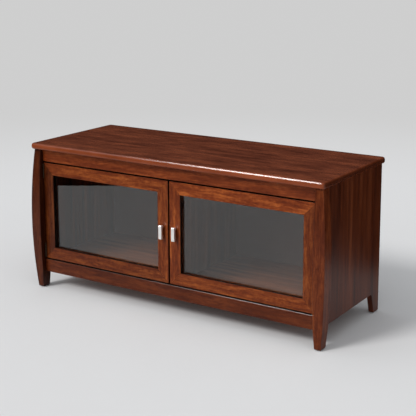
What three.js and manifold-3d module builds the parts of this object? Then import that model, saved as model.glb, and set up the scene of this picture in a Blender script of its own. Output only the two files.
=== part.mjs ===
// Media console with two glass doors, bowed front legs and an overhanging top.
// Units are millimetres. +Z is up, +X is the viewer's right and the doors face -Y.
// The origin is on the floor, under the middle of the top.

import * as THREE from 'three';
import { mergeVertices } from 'three/addons/utils/BufferGeometryUtils.js';
import Module from 'manifold-3d';

const wasm = await Module();
wasm.setup();

// Overall size
const topWidth = 1219;
const topDepth = 478;
const overallHeight = 560;

// Boards
const topThickness = 23;
const topEdgeRadius = 9;
const topCornerRadius = 14;
const boardThickness = 19;
const boardEase = 1.5;
const backThickness = 5;
const backCornerRadius = 3;

// How far the top stands out past what carries it
const frontOverhang = 13;
const sideOverhang = 9;
const backOverhang = 11.5;

// Clearances
const seatGap = 0.3;
const doorMiddleGap = 6;
const doorEndGap = 5;
const hingeSideGap = 2;
const doorStopGap = 1;
const cutOverrun = 2;

// Front legs: section at both ends, and how far the two outer faces swell at mid height
const legWidth = 28;
const legDepth = 40;
const legSideBow = 14.5;
const legFrontBow = 12.5;
const legEdgeRadius = 2.5;
const footTaper = 4;
const footRounding = 3;

// Side panels and their rear feet
const sideLift = 76;
const rearFootDepth = 40;
const rearFootSplay = 22;
const rearFootFillet = 6;

// Rails
const railLift = 62;
const bottomRailHeight = 49;
const topRailHeight = 46.5;
const topRailEase = 1.2;
const bottomRailEase = 3;
const rearTopRailHeight = 60;

// Middle foot under the deck
const middleFootWidth = 38;
const middleFootTaper = 5;
const middleFootEdgeRadius = 2.5;
const middleFootY = -50;

// Back panel
const backInset = 1;
const backLap = 12;
const cableHoleWidth = 110;
const cableHoleHeight = 54;
const cableHoleRise = 370;

// Doors
const doorSetback = 13.7;
const doorThickness = 20;
const memberWidth = 45;
const memberOuterEase = 1.5;
const memberInnerEase = 1.5;
const lipDepth = 12;
const rebateWidth = 8;
const glassThickness = 4;
const glassEdgeRadius = 1.2;
const glassSideGap = 0.7;
const beadEase = 1.6;

// Pulls
const pullWidth = 12.8;
const pullHeight = 48;
const pullBarThickness = 9.5;
const pullProjection = 17;
const pullCornerRadius = 1.5;
const pullEase = 0.8;
const pullInset = 24;
const pullPostRadius = 3.6;
const pullScrewSpacing = 32;
const pullScrewRadius = 2;
const pullScrewGap = 0.3;
const pullScrewGrip = 9;
const pullScrewEndGap = 0.6;
const screwHeadRadius = 4;
const screwHeadThickness = 2.2;
const screwHeadDome = 0.9;

// A domed head: its radius and height, from the rim to the crown
const domeShares = [[1, 0], [0.92, 0.45], [0.62, 0.85], [0, 1]];

// Butt hinges
const hingeHeight = 52;
const hingeInset = 5;
const leafThickness = 1;
const leafDepth = 13;
const leafCornerRadius = 1.5;
const doorLeafMortise = 0.9;
const knuckleRadius = 2.8;
const knuckleCount = 5;
const knuckleGap = 0.4;
const hingeReveal = 0.4;
const pinRadius = 1.2;
const pinHeadRadius = 2.3;
const pinHeadHeight = 1.4;
const pinHeadRim = 0.5;

// Magnetic catches and their strike plates
const catchWidth = 14;
const catchLength = 30;
const catchHeight = 40;
const catchDrop = 5;
const catchEdgeRadius = 2;
const catchSlotWidth = 2;
const catchSlotDepth = 2.5;
const catchSlotSpacing = 6;
const catchSlotMargin = 5;
const strikeWidth = 12;
const strikeHeight = 36;
const strikeThickness = 1;
const strikeCornerRadius = 2;

// Nail-on glides
const glideRadius = 6.5;
const glideThickness = 2.5;
const glideEdgeRadius = 1;
const nailRadius = 1.4;
const nailLength = 12;
const nailTipLength = 3;
const nailHoleGap = 0.3;
const nailHoleEndGap = 0.8;

// Smoothness of curves, in steps
const curveSteps = 3;
const arcSteps = 6;
const topEdgeSteps = 5;
const bowSteps = 16;
const roundingSteps = 4;
const roundSides = 20;
const smallRoundSides = 14;
const mergeTolerance = 1e-4;
const coordinatesPerVertex = 3;

// Levels, from the floor up
const topUnderside = overallHeight - topThickness;
const carcassTop = topUnderside - seatGap;
const footBottom = glideThickness + seatGap;
const bottomRailTop = railLift + bottomRailHeight;
const topRailBottom = carcassTop - topRailHeight;
const deckBottom = bottomRailTop - boardThickness;
const doorBottom = bottomRailTop + doorEndGap;
const doorTop = topRailBottom - doorEndGap;
const doorMiddle = (doorBottom + doorTop) / 2;

// Planes across the cabinet
const sideOuterX = topWidth / 2 - sideOverhang;
const sideInnerX = sideOuterX - boardThickness;
const betweenSidesX = sideInnerX - seatGap;
const legInnerX = sideOuterX - legWidth;
const betweenLegsX = legInnerX - seatGap;

// Planes from front to back
const legFrontY = frontOverhang - topDepth / 2;
const legRearY = legFrontY + legDepth;
const doorFrontY = legFrontY + doorSetback;
const doorBackY = doorFrontY + doorThickness;
const railBackY = doorFrontY + boardThickness;
const sideRearY = topDepth / 2 - backOverhang;
const backOuterY = sideRearY - backInset;
const backInnerY = backOuterY - backThickness;
const againstBackY = backInnerY - seatGap;

// Right-hand door; the left-hand one is its mirror image
const doorInnerX = doorMiddleGap / 2;
const doorOuterX = legInnerX - hingeSideGap;
const legLeafOuterX = legInnerX - seatGap;
const hingeX = legLeafOuterX - knuckleRadius;
const hingeY = doorFrontY - hingeReveal - knuckleRadius;
const upperHingeZ = doorTop - hingeInset - hingeHeight;
const lowerHingeZ = doorBottom + hingeInset;
const leafFrontY = hingeY + knuckleRadius + seatGap;
const pullX = doorInnerX + pullInset;
const pullScrewLevels = [doorMiddle - pullScrewSpacing / 2, doorMiddle + pullScrewSpacing / 2];
const catchX = boardThickness / 2 + seatGap + catchWidth / 2;
const catchFrontY = doorBackY + seatGap + strikeThickness + seatGap;
const catchTop = topRailBottom - catchDrop;

const xAxis = new THREE.Vector3(1, 0, 0);
const yAxis = new THREE.Vector3(0, 1, 0);
const zAxis = new THREE.Vector3(0, 0, 1);

const finishes = {
  top: { color: 0x5a2c1c, roughness: 0.32, metalness: 0 },
  frame: { color: 0x6b3622, roughness: 0.36, metalness: 0 },
  door: { color: 0x8a4a26, roughness: 0.34, metalness: 0 },
  side: { color: 0x4e2718, roughness: 0.4, metalness: 0 },
  inside: { color: 0x5b3222, roughness: 0.5, metalness: 0 },
  back: { color: 0x3b2419, roughness: 0.7, metalness: 0 },
  glass: { color: 0xb9c0c2, roughness: 0.05, metalness: 0, transparent: true, opacity: 0.3 },
  nickel: { color: 0xc9c7c2, roughness: 0.3, metalness: 1 },
  bronze: { color: 0x4a3526, roughness: 0.45, metalness: 1 },
  steel: { color: 0x9a9a98, roughness: 0.4, metalness: 1 },
  plastic: { color: 0x2f2119, roughness: 0.55, metalness: 0 },
};

const mediaConsole = new THREE.Group();

// Frames that turn a flat outline so that its extrusion runs along one axis of the cabinet.
// alongWidth takes outlines in Y and Z, and alongDepth takes outlines in Z and X.
const alongWidth = new THREE.Matrix4().makeBasis(yAxis, zAxis, xAxis);
const alongDepth = new THREE.Matrix4().makeBasis(zAxis, xAxis, yAxis);
const upright = new THREE.Matrix4();

// Adds one named piece with a material of its own.
function addPiece(name, geometry, finish) {
  const mesh = new THREE.Mesh(geometry, new THREE.MeshStandardMaterial(finishes[finish]));
  mesh.name = name;
  mediaConsole.add(mesh);
}

// Adds a right-hand piece and its mirror image on the left.
function addPair(name, geometry, finish) {
  addPiece(`right_${name}`, geometry, finish);
  addPiece(`left_${name}`, mirrored(geometry), finish);
}

// A mirror image across the middle of the cabinet, with its faces still pointing out.
function mirrored(geometry) {
  const copy = geometry.clone().scale(-1, 1, 1);
  const count = copy.getAttribute('position').count;
  const order = Array.from(copy.index ? copy.index.array : Array(count).keys());
  for (let corner = 0; corner < order.length; corner += 3) {
    [order[corner + 1], order[corner + 2]] = [order[corner + 2], order[corner + 1]];
  }
  copy.setIndex(order);
  copy.computeVertexNormals();
  return copy;
}

// A closed solid made from a geometry, with shared vertices merged and flat triangles dropped.
function solidFrom(geometry) {
  const bare = new THREE.BufferGeometry();
  bare.setAttribute('position', geometry.getAttribute('position').clone());
  if (geometry.index) {
    bare.setIndex(geometry.index.clone());
  }
  const merged = mergeVertices(bare, mergeTolerance);
  const corners = merged.index.array;
  const triangles = [];
  for (let corner = 0; corner < corners.length; corner += 3) {
    const triangle = [corners[corner], corners[corner + 1], corners[corner + 2]];
    if (new Set(triangle).size === 3) {
      triangles.push(...triangle);
    }
  }
  return new wasm.Manifold(new wasm.Mesh({
    numProp: coordinatesPerVertex,
    vertProperties: Float32Array.from(merged.getAttribute('position').array),
    triVerts: Uint32Array.from(triangles),
  }));
}

function geometryFrom(solid) {
  const mesh = solid.getMesh();
  const geometry = new THREE.BufferGeometry();
  geometry.setAttribute('position', new THREE.BufferAttribute(mesh.vertProperties, coordinatesPerVertex));
  geometry.setIndex(Array.from(mesh.triVerts));
  geometry.computeVertexNormals();
  return geometry;
}

// One solid from pieces that touch or cross.
function joined(...geometries) {
  return geometryFrom(geometries.map(solidFrom).reduce((whole, piece) => whole.add(piece)));
}

function cut(geometry, ...cutters) {
  const start = solidFrom(geometry);
  return geometryFrom(cutters.map(solidFrom).reduce((whole, cutter) => whole.subtract(cutter), start));
}

// A point at a set distance from one corner of an outline towards another.
function stepTowards([fromX, fromY], [toX, toY], distance) {
  const from = new THREE.Vector2(fromX, fromY);
  const direction = new THREE.Vector2(toX, toY).sub(from).normalize();
  return from.addScaledVector(direction, distance);
}

// A closed outline through corners given as [x, y, radius], each rounded by its radius.
function roundedOutline(corners) {
  const shape = new THREE.Shape();
  corners.forEach((corner, index) => {
    const [x, y, radius] = corner;
    const entry = stepTowards(corner, corners.at(index - 1), radius);
    const exit = stepTowards(corner, corners[(index + 1) % corners.length], radius);
    if (index === 0) {
      shape.moveTo(entry.x, entry.y);
    } else {
      shape.lineTo(entry.x, entry.y);
    }
    if (radius > 0) {
      shape.quadraticCurveTo(x, y, exit.x, exit.y);
    }
  });
  shape.closePath();
  return shape;
}

function roundedRectangle(x0, y0, x1, y1, radius) {
  return roundedOutline([[x0, y0, radius], [x1, y0, radius], [x1, y1, radius], [x0, y1, radius]]);
}

// A flat outline given thickness from start to end, with its edges eased where ease is set.
function extruded(outline, frame, start, end, ease = 0, steps = curveSteps) {
  const geometry = new THREE.ExtrudeGeometry(outline, {
    depth: end - start - 2 * ease,
    bevelEnabled: ease > 0,
    bevelThickness: ease,
    bevelSize: ease,
    bevelOffset: -ease,
    bevelSegments: steps,
    curveSegments: steps,
  });
  geometry.translate(0, 0, start + ease);
  return geometry.applyMatrix4(frame);
}

// A plain board or a square cutter between two corners.
function block([x0, y0, z0], [x1, y1, z1]) {
  const geometry = new THREE.BoxGeometry(x1 - x0, y1 - y0, z1 - z0);
  return geometry.translate((x0 + x1) / 2, (y0 + y1) / 2, (z0 + z1) / 2);
}

// A round bar from start to end, standing on its end until a frame turns it.
function roundBar(radius, start, end, frame = upright, sides = roundSides) {
  const bar = new THREE.CylinderGeometry(radius, radius, end - start, sides);
  bar.rotateX(Math.PI / 2);
  bar.translate(0, 0, (start + end) / 2);
  return bar.applyMatrix4(frame);
}

// A turned piece from a profile of [radius, height] points that starts and ends on the axis.
function turned(profile, sides = roundSides) {
  const points = profile.map(([radius, height]) => new THREE.Vector2(radius, height));
  return new THREE.LatheGeometry(points, sides).rotateX(Math.PI / 2);
}

// Rounds a post's lower end: for one level of the post, its height and how far its faces draw in.
function postLevel(step, bodySteps, height) {
  if (step > roundingSteps) {
    const share = (step - roundingSteps) / bodySteps;
    return { rise: footRounding + (height - footRounding) * share, inset: 0 };
  }
  const angle = (Math.PI / 2) * (step / roundingSteps);
  return { rise: footRounding * (1 - Math.cos(angle)), inset: footRounding * (1 - Math.sin(angle)) };
}

// An upright post with eased edges. At each height, facesAt says how far its four faces move.
function post([x0, y0], [x1, y1], top, edgeRadius, bodySteps, facesAt) {
  const height = top - footBottom;
  const steps = roundingSteps + bodySteps;
  const geometry = new THREE.ExtrudeGeometry(roundedRectangle(x0, y0, x1, y1, edgeRadius), {
    depth: height,
    steps,
    bevelEnabled: false,
    curveSegments: curveSteps,
  });
  const position = geometry.getAttribute('position');
  for (let i = 0; i < position.count; i += 1) {
    const step = Math.round((position.getZ(i) / height) * steps);
    const { rise, inset } = postLevel(step, bodySteps, height);
    const faces = facesAt(footBottom + rise);
    const x = position.getX(i);
    const y = position.getY(i);
    const movedX = x > (x0 + x1) / 2 ? x + faces.right - inset : x + faces.left + inset;
    const movedY = y > (y0 + y1) / 2 ? y + faces.rear - inset : y + faces.front + inset;
    position.setXYZ(i, movedX, movedY, footBottom + rise);
  }
  return geometry;
}

// How far a foot's tapered faces have drawn in at a height below the given level.
function taperAt(height, taper, level) {
  return taper * Math.max(0, 1 - height / level);
}

// The hole in a foot for its glide's nail.
function nailHole([x, y]) {
  const start = footBottom - cutOverrun;
  const end = glideThickness + nailLength + nailHoleEndGap;
  const bore = roundBar(nailRadius + nailHoleGap, start, end, upright, smallRoundSides);
  return bore.translate(x, y, 0);
}

// Middles of the five feet, where they meet the floor, on the right-hand side
const frontFootPlace = [(legInnerX + footTaper + sideOuterX) / 2, (legFrontY + legRearY - footTaper) / 2];
const rearFootPlace = [(sideInnerX + sideOuterX) / 2, sideRearY - rearFootDepth / 2];
const middleFootPlace = [0, middleFootY];

// The top: one slab with a rounded edge all round and softened corners.
function topPanel() {
  const x = topWidth / 2;
  const y = topDepth / 2;
  const outline = roundedRectangle(-x, -y, x, y, topCornerRadius);
  return extruded(outline, upright, topUnderside, overallHeight, topEdgeRadius, topEdgeSteps);
}

// A front corner post: its outer side and its front swell in one arc from the floor to the top.
function frontLeg() {
  const halfHeight = topUnderside / 2;
  const facesAt = (height) => {
    const bow = 1 - ((height - halfHeight) / halfHeight) ** 2;
    const taper = taperAt(height, footTaper, sideLift);
    return { left: taper, right: legSideBow * bow, front: -legFrontBow * bow, rear: -taper };
  };
  const near = [legInnerX, legFrontY];
  const far = [sideOuterX, legRearY];
  const leg = post(near, far, carcassTop, legEdgeRadius, bowSteps, facesAt);
  return cut(leg, nailHole(frontFootPlace));
}

// A side panel whose rear end runs down to the floor as a foot with a splayed front edge.
function sidePanel() {
  const frontY = legRearY + seatGap;
  const footFrontY = sideRearY - rearFootDepth;
  const outline = roundedOutline([
    [frontY, sideLift, 0],
    [footFrontY - rearFootSplay, sideLift, rearFootFillet],
    [footFrontY, footBottom, footRounding],
    [sideRearY, footBottom, footRounding],
    [sideRearY, carcassTop + cutOverrun, 0],
    [frontY, carcassTop + cutOverrun, 0],
  ]);
  const panel = extruded(outline, alongWidth, sideInnerX, sideOuterX, boardEase);
  const overTop = block(
    [sideInnerX - cutOverrun, frontY - cutOverrun, carcassTop],
    [sideOuterX + cutOverrun, sideRearY + cutOverrun, carcassTop + 2 * cutOverrun],
  );
  return cut(panel, overTop, nailHole(rearFootPlace));
}

// A rail between the front legs, with its exposed front edges eased.
function frontRail(bottom, top, lowerEase, upperEase) {
  const outline = roundedOutline([
    [doorFrontY, bottom, lowerEase],
    [railBackY, bottom, 0],
    [railBackY, top, 0],
    [doorFrontY, top, upperEase],
  ]);
  return extruded(outline, alongWidth, -betweenLegsX, betweenLegsX);
}

// A rail between the side panels, just in front of the back panel.
function rearRail(bottom, top) {
  return block([-betweenSidesX, againstBackY - boardThickness, bottom], [betweenSidesX, againstBackY, top]);
}

// The board under both bays, notched at the front round the legs.
function deck() {
  const frontY = railBackY + seatGap;
  const notchY = legRearY + seatGap;
  const outline = roundedOutline([
    [-betweenLegsX, frontY, 0],
    [betweenLegsX, frontY, 0],
    [betweenLegsX, notchY, 0],
    [betweenSidesX, notchY, 0],
    [betweenSidesX, againstBackY, 0],
    [-betweenSidesX, againstBackY, 0],
    [-betweenSidesX, notchY, 0],
    [-betweenLegsX, notchY, 0],
  ]);
  return extruded(outline, upright, deckBottom, bottomRailTop);
}

// The upright board between the bays, notched at the back for the top rear rail.
function divider() {
  const frontY = doorBackY + doorStopGap;
  const notchY = againstBackY - boardThickness - seatGap;
  const notchZ = carcassTop - rearTopRailHeight - seatGap;
  const outline = roundedOutline([
    [frontY, bottomRailTop + seatGap, 0],
    [againstBackY, bottomRailTop + seatGap, 0],
    [againstBackY, notchZ, 0],
    [notchY, notchZ, 0],
    [notchY, carcassTop, 0],
    [frontY, carcassTop, 0],
  ]);
  return extruded(outline, alongWidth, -boardThickness / 2, boardThickness / 2);
}

// A cable cut-out with round ends, drawn in Z and X.
function cableHole(x) {
  const radius = cableHoleHeight / 2;
  const reach = cableHoleWidth / 2 - radius;
  const hole = new THREE.Path();
  hole.absarc(cableHoleRise, x + reach, radius, 0, Math.PI, false);
  hole.absarc(cableHoleRise, x - reach, radius, Math.PI, 2 * Math.PI, false);
  hole.closePath();
  return hole;
}

function backPanel() {
  const bottom = deckBottom - backLap;
  const outline = roundedRectangle(bottom, -betweenSidesX, carcassTop, betweenSidesX, backCornerRadius);
  outline.holes.push(cableHole(-betweenSidesX / 2), cableHole(betweenSidesX / 2));
  return extruded(outline, alongDepth, backInnerY, backOuterY, 0, arcSteps);
}

// A short square foot that holds the deck up in the middle, tapering towards the floor.
function middleFoot() {
  const half = middleFootWidth / 2;
  const top = deckBottom - seatGap;
  const facesAt = (height) => {
    const taper = taperAt(height, middleFootTaper, top);
    return { left: taper, right: -taper, front: taper, rear: -taper };
  };
  const near = [-half, middleFootY - half];
  const far = [half, middleFootY + half];
  return cut(post(near, far, top, middleFootEdgeRadius, 1, facesAt), nailHole(middleFootPlace));
}

// A plastic glide with the nail that holds it in the foot.
function glide([x, y]) {
  const nailTop = glideThickness + nailLength;
  const profile = [
    [0, 0],
    [glideRadius - glideEdgeRadius, 0],
    [glideRadius, glideEdgeRadius],
    [glideRadius, glideThickness],
    [nailRadius, glideThickness],
    [nailRadius, nailTop - nailTipLength],
    [0, nailTop],
  ];
  return turned(profile).translate(x, y, 0);
}

// One member of a door frame or one glass bead: a straight moulding with a mitre at both ends.
// The section is drawn across the member from the outer edge of the door, and back from its face.
function mitred(section, origin, across, along, length) {
  const setback = seatGap / Math.SQRT2;
  const geometry = new THREE.ExtrudeGeometry(section, {
    depth: length,
    bevelEnabled: false,
    curveSegments: curveSteps,
  });
  const position = geometry.getAttribute('position');
  for (let i = 0; i < position.count; i += 1) {
    const mitre = position.getX(i) + setback;
    position.setZ(i, position.getZ(i) < length / 2 ? mitre : length - mitre);
  }
  const place = new THREE.Matrix4().makeBasis(across, yAxis, along).setPosition(origin);
  return geometry.applyMatrix4(place);
}

// The four sides of the right-hand door, each with the corner where it starts.
const doorWidth = doorOuterX - doorInnerX;
const doorHeight = doorTop - doorBottom;
const outerTop = new THREE.Vector3(doorOuterX, doorFrontY, doorTop);
const outerBottom = new THREE.Vector3(doorOuterX, doorFrontY, doorBottom);
const innerTop = new THREE.Vector3(doorInnerX, doorFrontY, doorTop);
const innerBottom = new THREE.Vector3(doorInnerX, doorFrontY, doorBottom);
const leftwards = xAxis.clone().negate();
const downwards = zAxis.clone().negate();
const onOuterSide = (section) => mitred(section, outerTop, leftwards, downwards, doorHeight);
const onInnerSide = (section) => mitred(section, innerBottom, xAxis, zAxis, doorHeight);
const onTop = (section) => mitred(section, innerTop, downwards, xAxis, doorWidth);
const onBottom = (section) => mitred(section, outerBottom, zAxis, leftwards, doorWidth);

const rebateWall = memberWidth - rebateWidth;
const memberSection = roundedOutline([
  [0, 0, memberOuterEase],
  [memberWidth, 0, memberInnerEase],
  [memberWidth, lipDepth, 0],
  [rebateWall, lipDepth, 0],
  [rebateWall, doorThickness, 0],
  [0, doorThickness, memberOuterEase],
]);
const beadFront = lipDepth + seatGap + glassThickness + seatGap;
const beadSection = roundedOutline([
  [rebateWall + seatGap, beadFront, 0],
  [memberWidth, beadFront, 0],
  [memberWidth, doorThickness, beadEase],
  [rebateWall + seatGap, doorThickness, 0],
]);

// The hinge stile, cut away at its edge for the two door leaves.
function outerStile() {
  const innerX = doorOuterX - doorLeafMortise - seatGap;
  const mortises = [upperHingeZ, lowerHingeZ].map((bottom) => block(
    [innerX, doorFrontY - cutOverrun, bottom - seatGap],
    [doorOuterX + cutOverrun, leafFrontY + leafDepth + seatGap, bottom + hingeHeight + seatGap],
  ));
  return cut(onOuterSide(memberSection), ...mortises);
}

// The middle stile, drilled for the screws of the pull.
function innerStile() {
  const start = doorFrontY - cutOverrun;
  const end = doorBackY + cutOverrun;
  const radius = pullScrewRadius + pullScrewGap;
  const drills = pullScrewLevels.map((z) => roundBar(radius, start, end, alongDepth).translate(pullX, 0, z));
  return cut(onInnerSide(memberSection), ...drills);
}

// A pane that stands on the bottom rebate, against the lip of the frame.
function glassPane() {
  const sideGap = seatGap + glassSideGap;
  const outline = roundedRectangle(
    doorBottom + rebateWall + seatGap,
    doorInnerX + rebateWall + sideGap,
    doorTop - rebateWall - sideGap,
    doorOuterX - rebateWall - sideGap,
    glassEdgeRadius,
  );
  const frontY = doorFrontY + lipDepth + seatGap;
  return extruded(outline, alongDepth, frontY, frontY + glassThickness);
}

// A square bar on two round posts, which are bored from behind for the screws.
function pull() {
  const frontY = doorFrontY - pullProjection;
  const barBackY = frontY + pullBarThickness;
  const postBackY = doorFrontY - seatGap;
  const outline = roundedRectangle(
    doorMiddle - pullHeight / 2,
    pullX - pullWidth / 2,
    doorMiddle + pullHeight / 2,
    pullX + pullWidth / 2,
    pullCornerRadius,
  );
  const bar = extruded(outline, alongDepth, frontY, barBackY, pullEase);
  const posts = pullScrewLevels.map(
    (z) => roundBar(pullPostRadius, barBackY - pullEase, postBackY, alongDepth).translate(pullX, 0, z),
  );
  const boreRadius = pullScrewRadius + pullScrewGap;
  const boreStart = postBackY - pullScrewGrip - pullScrewEndGap;
  const boreEnd = postBackY + cutOverrun;
  const bores = pullScrewLevels.map(
    (z) => roundBar(boreRadius, boreStart, boreEnd, alongDepth).translate(pullX, 0, z),
  );
  return cut(joined(bar, ...posts), ...bores);
}

// A machine screw through the stile into the pull, with its domed head behind the door.
function pullScrew(z) {
  const tipY = doorFrontY - seatGap - pullScrewGrip;
  const headY = doorBackY + seatGap;
  const rimY = headY + screwHeadThickness - screwHeadDome;
  const profile = [
    [0, tipY],
    [pullScrewRadius, tipY],
    [pullScrewRadius, headY],
    [screwHeadRadius, headY],
    ...domed(screwHeadRadius, rimY, screwHeadDome),
  ];
  return turned(profile, smallRoundSides).applyMatrix4(alongDepth).translate(pullX, 0, z);
}

// The points of a dome that rises from a rim, or hangs under it where the height is negative.
function domed(radius, rim, height) {
  return domeShares.map(([radiusShare, heightShare]) => [radius * radiusShare, rim + height * heightShare]);
}

// One leaf of a butt hinge: a let-in plate, and every second knuckle from the first one given.
function hingeLeaf(innerX, bottom, firstKnuckle) {
  const outerX = innerX + leafThickness;
  const top = bottom + hingeHeight;
  const plate = roundedOutline([
    [leafFrontY, bottom, 0],
    [leafFrontY + leafDepth, bottom, leafCornerRadius],
    [leafFrontY + leafDepth, top, leafCornerRadius],
    [leafFrontY, top, 0],
  ]);
  const pieces = [extruded(plate, alongWidth, innerX, outerX)];
  const pitch = (hingeHeight + knuckleGap) / knuckleCount;
  for (let knuckle = firstKnuckle; knuckle < knuckleCount; knuckle += 2) {
    const start = bottom + knuckle * pitch;
    const end = start + pitch - knuckleGap;
    pieces.push(onHingeAxis(roundBar(knuckleRadius, start, end, upright, smallRoundSides)));
    pieces.push(block([innerX, hingeY, start], [outerX, leafFrontY + leafThickness, end]));
  }
  const bore = roundBar(pinRadius + seatGap, bottom - cutOverrun, top + cutOverrun, upright, smallRoundSides);
  return cut(joined(...pieces), onHingeAxis(bore));
}

// A hinge pin with a domed head at both ends.
function hingePin(bottom) {
  const shankStart = bottom - seatGap;
  const shankEnd = bottom + hingeHeight + seatGap;
  const profile = [
    ...domed(pinHeadRadius, shankStart - pinHeadRim, pinHeadRim - pinHeadHeight).reverse(),
    [pinHeadRadius, shankStart],
    [pinRadius, shankStart],
    [pinRadius, shankEnd],
    [pinHeadRadius, shankEnd],
    ...domed(pinHeadRadius, shankEnd + pinHeadRim, pinHeadHeight - pinHeadRim),
  ];
  return onHingeAxis(turned(profile, smallRoundSides));
}

function onHingeAxis(geometry) {
  return geometry.translate(hingeX, hingeY, 0);
}

// A magnetic catch on the side of the divider, with a slot in front of each pole plate.
function magneticCatch() {
  const bottom = catchTop - catchHeight;
  const outline = roundedRectangle(
    bottom,
    catchX - catchWidth / 2,
    catchTop,
    catchX + catchWidth / 2,
    catchEdgeRadius,
  );
  const body = extruded(outline, alongDepth, catchFrontY, catchFrontY + catchLength);
  const slots = [-catchSlotSpacing / 2, catchSlotSpacing / 2].map((offset) => block(
    [catchX + offset - catchSlotWidth / 2, catchFrontY - cutOverrun, bottom + catchSlotMargin],
    [catchX + offset + catchSlotWidth / 2, catchFrontY + catchSlotDepth, catchTop - catchSlotMargin],
  ));
  return cut(body, ...slots);
}

// The steel plate behind the door that the catch holds.
function strikePlate() {
  const middle = catchTop - catchHeight / 2;
  const outline = roundedRectangle(
    middle - strikeHeight / 2,
    catchX - strikeWidth / 2,
    middle + strikeHeight / 2,
    catchX + strikeWidth / 2,
    strikeCornerRadius,
  );
  const frontY = doorBackY + seatGap;
  return extruded(outline, alongDepth, frontY, frontY + strikeThickness);
}

addPiece('top_panel', topPanel(), 'top');
addPair('front_leg', frontLeg(), 'frame');
addPair('side_panel', sidePanel(), 'side');
addPiece('top_front_rail', frontRail(topRailBottom, carcassTop, topRailEase, 0), 'frame');
addPiece('bottom_front_rail', frontRail(railLift, bottomRailTop, topRailEase, bottomRailEase), 'frame');
addPiece('bottom_panel', deck(), 'inside');
addPiece('centre_divider', divider(), 'inside');
addPiece('back_panel', backPanel(), 'back');
addPiece('top_rear_rail', rearRail(carcassTop - rearTopRailHeight, carcassTop), 'inside');
addPiece('bottom_rear_rail', rearRail(railLift, deckBottom - seatGap), 'inside');
addPiece('middle_foot', middleFoot(), 'frame');
addPiece('middle_glide', glide(middleFootPlace), 'plastic');
addPair('front_glide', glide(frontFootPlace), 'plastic');
addPair('rear_glide', glide(rearFootPlace), 'plastic');
addPair('catch', magneticCatch(), 'plastic');

addPair('door_outer_stile', outerStile(), 'door');
addPair('door_inner_stile', innerStile(), 'door');
addPair('door_top_rail', onTop(memberSection), 'door');
addPair('door_bottom_rail', onBottom(memberSection), 'door');
addPair('door_glass', glassPane(), 'glass');
addPair('door_outer_bead', onOuterSide(beadSection), 'door');
addPair('door_inner_bead', onInnerSide(beadSection), 'door');
addPair('door_top_bead', onTop(beadSection), 'door');
addPair('door_bottom_bead', onBottom(beadSection), 'door');
addPair('door_pull', pull(), 'nickel');
addPair('door_strike', strikePlate(), 'steel');

const [lowerScrewZ, upperScrewZ] = pullScrewLevels;
addPair('door_lower_screw', pullScrew(lowerScrewZ), 'steel');
addPair('door_upper_screw', pullScrew(upperScrewZ), 'steel');

for (const [level, bottom] of [['upper', upperHingeZ], ['lower', lowerHingeZ]]) {
  addPair(`${level}_hinge_leg_leaf`, hingeLeaf(legLeafOuterX - leafThickness, bottom, 0), 'bronze');
  addPair(`${level}_hinge_door_leaf`, hingeLeaf(doorOuterX - doorLeafMortise, bottom, 1), 'bronze');
  addPair(`${level}_hinge_pin`, hingePin(bottom), 'bronze');
}

export default mediaConsole;
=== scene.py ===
# %% [markdown]
# Media console: the looks
#
# The solids of the console were modelled and packed before this lesson starts. They could be brought in
# one at a time. Here the solids get their looks, the small screws that hold the fittings, a floor to
# stand on and a studio light. Everything is in metres, with Z up and the doors facing -Y.

import math

import bmesh
import bpy
from mathutils import Matrix, Vector


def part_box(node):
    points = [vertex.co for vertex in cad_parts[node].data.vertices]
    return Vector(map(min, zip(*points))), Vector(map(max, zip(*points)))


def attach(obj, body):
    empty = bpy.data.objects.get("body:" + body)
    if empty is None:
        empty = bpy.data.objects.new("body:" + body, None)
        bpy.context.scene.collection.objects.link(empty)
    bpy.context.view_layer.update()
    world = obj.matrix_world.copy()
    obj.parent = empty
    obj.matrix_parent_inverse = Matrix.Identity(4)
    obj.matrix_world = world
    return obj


SIDES = ("left", "right")
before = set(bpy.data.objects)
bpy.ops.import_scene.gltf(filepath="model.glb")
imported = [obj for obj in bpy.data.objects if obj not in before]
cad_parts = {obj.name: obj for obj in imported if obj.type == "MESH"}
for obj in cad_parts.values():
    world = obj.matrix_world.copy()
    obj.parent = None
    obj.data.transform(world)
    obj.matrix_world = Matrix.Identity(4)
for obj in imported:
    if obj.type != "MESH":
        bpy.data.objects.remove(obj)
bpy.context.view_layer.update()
scene = bpy.context.scene

# %% [markdown]
# Placing things
#
# The camera, the lamps and the screws are new objects that have to look along a line. Three angles could
# turn each of them, but it is hard to see in one's head where three angles lead. These helpers take
# directions: where an object's own X, Y and Z should point, or only where its own Z should point.

# %% Helpers for objects
def add_object(name, data):
    made = bpy.data.objects.new(name, data)
    scene.collection.objects.link(made)
    return made


def standing(place, own_x, own_y, own_z):
    return Matrix.Translation(place) @ Matrix((own_x, own_y, own_z)).transposed().to_4x4()


def pointing(direction):
    return Vector(direction).to_track_quat("Z", "Y").to_matrix().to_4x4()


print("object helpers ready")

# %% [markdown]
# The camera
#
# The photograph was taken from the right of the middle, a little above the top, with a fairly long lens.
# A camera could be set by eye, but a wrong angle or distance bends every proportion, so this one was
# found by fitting the edges and corners of the cabinet. Upright edges stay nearly parallel in the
# picture, which a small lens shift gives without tilting the camera as far.

# %% Place the camera
IMAGE_SIDE = 416
SENSOR_WIDTH = 36.0
FARTHEST_SEEN = 200.0
camera_place = Vector((1.9865, -3.0223, 1.2880))
camera_yaw = math.radians(32.638)
camera_pitch = math.radians(-10.574)
camera_roll = math.radians(-0.054)
focal_pixels = 1023.66
# The point of the picture that the lens axis meets, in pixels from the upper left corner
view_centre = (214.0, 135.0)

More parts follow.
